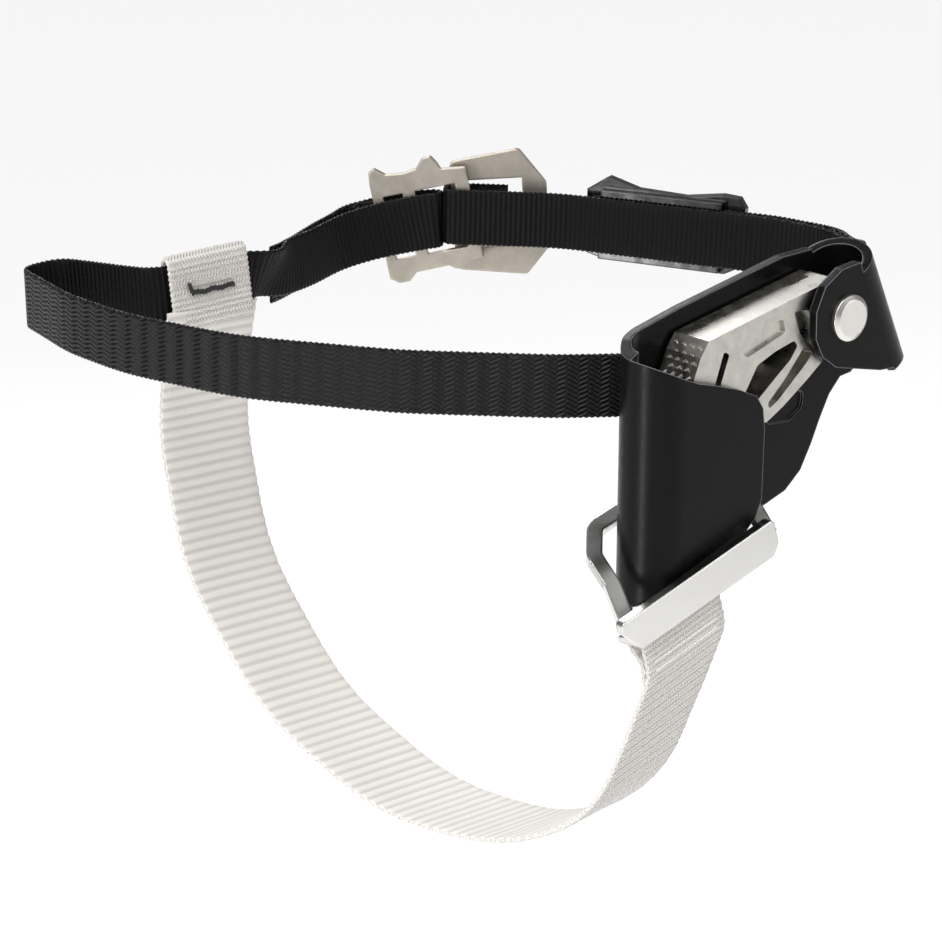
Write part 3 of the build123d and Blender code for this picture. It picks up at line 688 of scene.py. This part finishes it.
class ASCENDER_OT_instep(bpy.types.Operator):
    """Weaves the instep strap and its keeper"""

    bl_idname = "ascender.instep"
    bl_label = "Instep strap and keeper"

    def execute(self, context):
        sizes, colours = context.scene.ascender_sizes, context.scene.ascender_colours
        yarn = tuple(colours.white_yarn)
        materials = [
            woven("white_twill", yarn, 0.9 * MM, 1.6 * MM, 0.6, 0.65, 0.35, 0.86),
            ribbed("white_ribbed", yarn, 0.3, 0.7, 2 * sizes.rib_pitch, 0.86),
        ]
        corners = [(4 - 53 * (y + 12) / 147, y, z) for y, z in INSTEP_LINE]
        corners[-1] = (4.0, *INSTEP_LINE[-1])
        corners[-2] = (1.8, *INSTEP_LINE[-2])
        corners += [on_link(SLOT_MID, y, z) for y, z in BAR_LINE]
        line = rounded(corners, INSTEP_RADII, 0.4)
        s = lengths(line)
        at_link = np.clip((s - (s[-1] - 120)) / 60, 0, 1)
        tilt = LINK_TILT * at_link * at_link * (3 - 2 * at_link)
        across = np.stack([np.cos(tilt), np.zeros(len(s)), np.sin(tilt)], axis=1)
        narrow = sizes.white_width - 1.2 * MM * at_link[:, None]
        points, faces, uv, index = ribbon_mesh(
            line * MM, across, sizes.white_width, sizes.white_thickness, 2 * sizes.rib_pitch,
            0.9 * sizes.rib_height, sizes.edge_scallop, 1)
        sections = points.reshape(len(line), -1, 3)
        middle = line[:, None] * MM
        points = (middle + (sections - middle) * (narrow / sizes.white_width)[:, None]).reshape(-1, 3)
        piece = new_mesh("instep_strap_web", points, faces.tolist(), None, materials, uv, index)
        upward(piece)
        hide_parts("instep_strap", "instep_link_loop")
        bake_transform(piece)

        # the keeper is a flat closed loop of the same webbing round the ankle strap
        low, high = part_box("instep_keeper")
        centre = (low + high) / 2
        along = Vector((0.994, -0.108, 0.0895)).normalized()
        out = Vector((0.108, 0.994, 0)).normalized()
        up = along.cross(out)
        half_deep, half_tall = 1.95 * MM, 9.6 * MM
        loop = [(1, -0.2), (1, 1), (-1, 1), (-1, -1), (1, -1), (1, 0.1), (0.86, 0.5)]
        corners = [centre + out * (a * half_deep) + up * (b * half_tall) for a, b in loop]
        line = rounded([tuple(p / MM) for p in corners], [1.8, 1.8, 1.8, 1.8, 3, 3], 0.3)
        across = np.broadcast_to(np.array(along), line.shape)
        web_piece("instep_keeper_web", line, across, 23.4 * MM, sizes.white_thickness, "frame",
                  materials[::-1], 1, sizes, ["instep_keeper"])
        return {"FINISHED"}


class ASCENDER_OT_stitching(bpy.types.Operator):
    """Sews the bar tacks on the straps"""

    bl_idname = "ascender.stitching"
    bl_label = "Stitching"

    def execute(self, context):
        sizes = context.scene.ascender_sizes
        black = bonded_thread("black_thread", linear("#101012"))
        white = bonded_thread("white_thread", linear("#F2F0EC"))
        # the keeper's wavy bar tack, with its turned-up end
        low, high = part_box("keeper_bartack")
        along, up = np.array([0.994, -0.108, 0.0895]), np.array([-0.09, 0.0, 0.996])
        left = np.array([low.x + 1.0 * MM, high.y - 0.5 * MM, low.z + 0.9 * MM]) / MM
        left = left - np.array([0.108, 0.994, 0]) * 0.35
        bar = zigzag(left, unit(along), up, 12.4, 1.4, 0.36)
        u = np.linspace(0, 1, len(bar))
        bar += up * (0.2 * np.sin(u * 5 * pi))[:, None]
        hook = zigzag(left + up * 0.2, up * 0.98 + along * -0.2, unit(along), 2.6, 1.1, 0.36)
        sew("keeper_bartack_thread", [bar, hook], sizes.thread, "frame", black, "keeper_bartack")
        # upright bars on the ankle straps' sewn plies
        for node, count in (("bridge_stitching", 3), ("ear_stitching", 3), ("tail_stitching", 2)):
            low, high = (np.array(c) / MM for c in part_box(node))
            places = np.linspace(0.08, 0.92, count)
            rise = high[2] - low[2]
            if node == "tail_stitching":
                low[2], rise = low[2] - 1.0, rise - 2.6
            if node == "ear_stitching":
                a, b = np.array([low[0], high[1], 0]), np.array([high[0], low[1], 0])
            else:
                a, b = np.array([low[0], low[1], 0]), np.array([high[0], high[1], 0])
            lines = []
            for place in places:
                foot = a + (b - a) * place + [0, 0, low[2]]
                lines.append(zigzag(foot, (0, 0, 1), unit(b - a), rise, 1.0, 0.45))
            sew(node + "_thread", lines, sizes.thread, "frame", black, node)
        lines = []
        for depth, drop in ((4.15, -18.3), (4.55, -21.1)):
            start = np.array(on_link(SLOT_MID - 10.5, depth, drop))
            lines.append(zigzag(start, tuple(LINK_ALONG), (0, 0, 1), 21, 0.8, 0.7))
        sew("link_stitching_thread", lines, 0.6 * sizes.thread, "link", white, "link_stitching")
        return {"FINISHED"}


CAMERA_AT = (-0.3673, -0.3969, 0.1764)
CAMERA_FORWARD = (0.5855, 0.7495, -0.3090)
CAMERA_UP = (0.1903, 0.2435, 0.9511)
CAMERA_LENS = 89.43
FLOOR_HALF = 14.0
KEY_ANGLE = radians(60)


class ASCENDER_OT_stage(bpy.types.Operator):
    """Sets up the floor, the soft lights and the camera"""

    bl_idname = "ascender.stage"
    bl_label = "Stage"

    def execute(self, context):
        scene = context.scene
        studio, colours = scene.ascender_studio, scene.ascender_colours
        low, high = (np.array(corner) for corner in CAD_BOX)
        centre = (low + high) / 2
        floor_z = low[2] - studio.floor_drop
        corners = [(x * FLOOR_HALF, y * FLOOR_HALF, floor_z) for x, y in ((-1, -1), (1, -1), (1, 1), (-1, 1))]
        mesh = bpy.data.meshes.new("floor")
        mesh.from_pydata(corners, [], [(0, 1, 2, 3)])
        floor = bpy.data.objects.new("floor", mesh)
        scene.collection.objects.link(floor)
        material, tree, shader = new_material("painted_floor", tuple(colours.backdrop), 0.0, 0.8)
        mesh.materials.append(material)

        world = bpy.data.worlds.new("room")
        scene.world = world
        world.use_nodes = True
        back = world.node_tree.nodes["Background"]
        back.inputs["Color"].default_value = (1, 1, 1, 1)
        back.inputs["Strength"].default_value = studio.sky

        sun = bpy.data.lights.new("key", "SUN")
        sun.energy, sun.angle = studio.key, KEY_ANGLE
        lamp = bpy.data.objects.new("key", sun)
        scene.collection.objects.link(lamp)
        lamp.rotation_euler = Vector((0.5, 0.25, -0.83)).to_track_quat("-Z", "Y").to_euler()
        # name, power, place from the object's middle, width and height
        lights = (
            ("strip", studio.strip, (-1.25, -0.13, -0.05), 0.15, 1.1),
            ("fill", studio.fill, (1.0, -1.5, 0.5), 0.9, 0.9),
            ("rim", studio.rim, (0.5, 1.5, 1.1), 1.2, 0.8),
        )
        for name, power, offset, width, height in lights:
            data = bpy.data.lights.new(name, "AREA")
            data.energy, data.shape, data.size, data.size_y = power, "RECTANGLE", width, height
            lamp = bpy.data.objects.new(name, data)
            scene.collection.objects.link(lamp)
            lamp.location = Vector(centre) + Vector(offset)
            lamp.rotation_euler = (-Vector(offset)).to_track_quat("-Z", "Y").to_euler()

        data = bpy.data.cameras.new("camera")
        data.lens, data.sensor_width = CAMERA_LENS, 36
        data.clip_start, data.clip_end = 0.01, 50
        camera = bpy.data.objects.new("camera", data)
        scene.collection.objects.link(camera)
        forward, up = Vector(CAMERA_FORWARD), Vector(CAMERA_UP)
        right = forward.cross(up)
        turn = Matrix((right, up, -forward)).transposed()
        camera.matrix_world = Matrix.Translation(CAMERA_AT) @ turn.to_4x4()
        scene.camera = camera
        scene.view_settings.view_transform = "Standard"
        return {"FINISHED"}


STEPS = (
    ASCENDER_OT_metal,
    ASCENDER_OT_ankle_straps,
    ASCENDER_OT_instep,
    ASCENDER_OT_stitching,
    ASCENDER_OT_stage,
)


class ASCENDER_PT_panel(bpy.types.Panel):
    bl_idname = "ASCENDER_PT_panel"
    bl_label = "Foot ascender"
    bl_space_type = "VIEW_3D"
    bl_region_type = "UI"
    bl_category = "Ascender"

    def draw(self, context):
        for step in STEPS:
            self.layout.operator(step.bl_idname)
        for group in (context.scene.ascender_sizes, context.scene.ascender_colours, context.scene.ascender_studio):
            for name in group.bl_rna.properties.keys():
                if name not in ("rna_type", "name"):
                    self.layout.prop(group, name)


CLASSES = (WebbingSizes, FinishColours, StudioSettings, *STEPS, ASCENDER_PT_panel)


def register():
    for cls in CLASSES:
        bpy.utils.register_class(cls)
    bpy.types.Scene.ascender_sizes = PointerProperty(type=WebbingSizes)
    bpy.types.Scene.ascender_colours = PointerProperty(type=FinishColours)
    bpy.types.Scene.ascender_studio = PointerProperty(type=StudioSettings)


def unregister():
    del bpy.types.Scene.ascender_studio, bpy.types.Scene.ascender_colours, bpy.types.Scene.ascender_sizes
    for cls in reversed(CLASSES):
        bpy.utils.unregister_class(cls)


def main():
    register()
    bpy.ops.ascender.metal()
    bpy.ops.ascender.ankle_straps()
    bpy.ops.ascender.instep()
    bpy.ops.ascender.stitching()
    bpy.ops.ascender.stage()


if __name__ == "__main__":
    main()
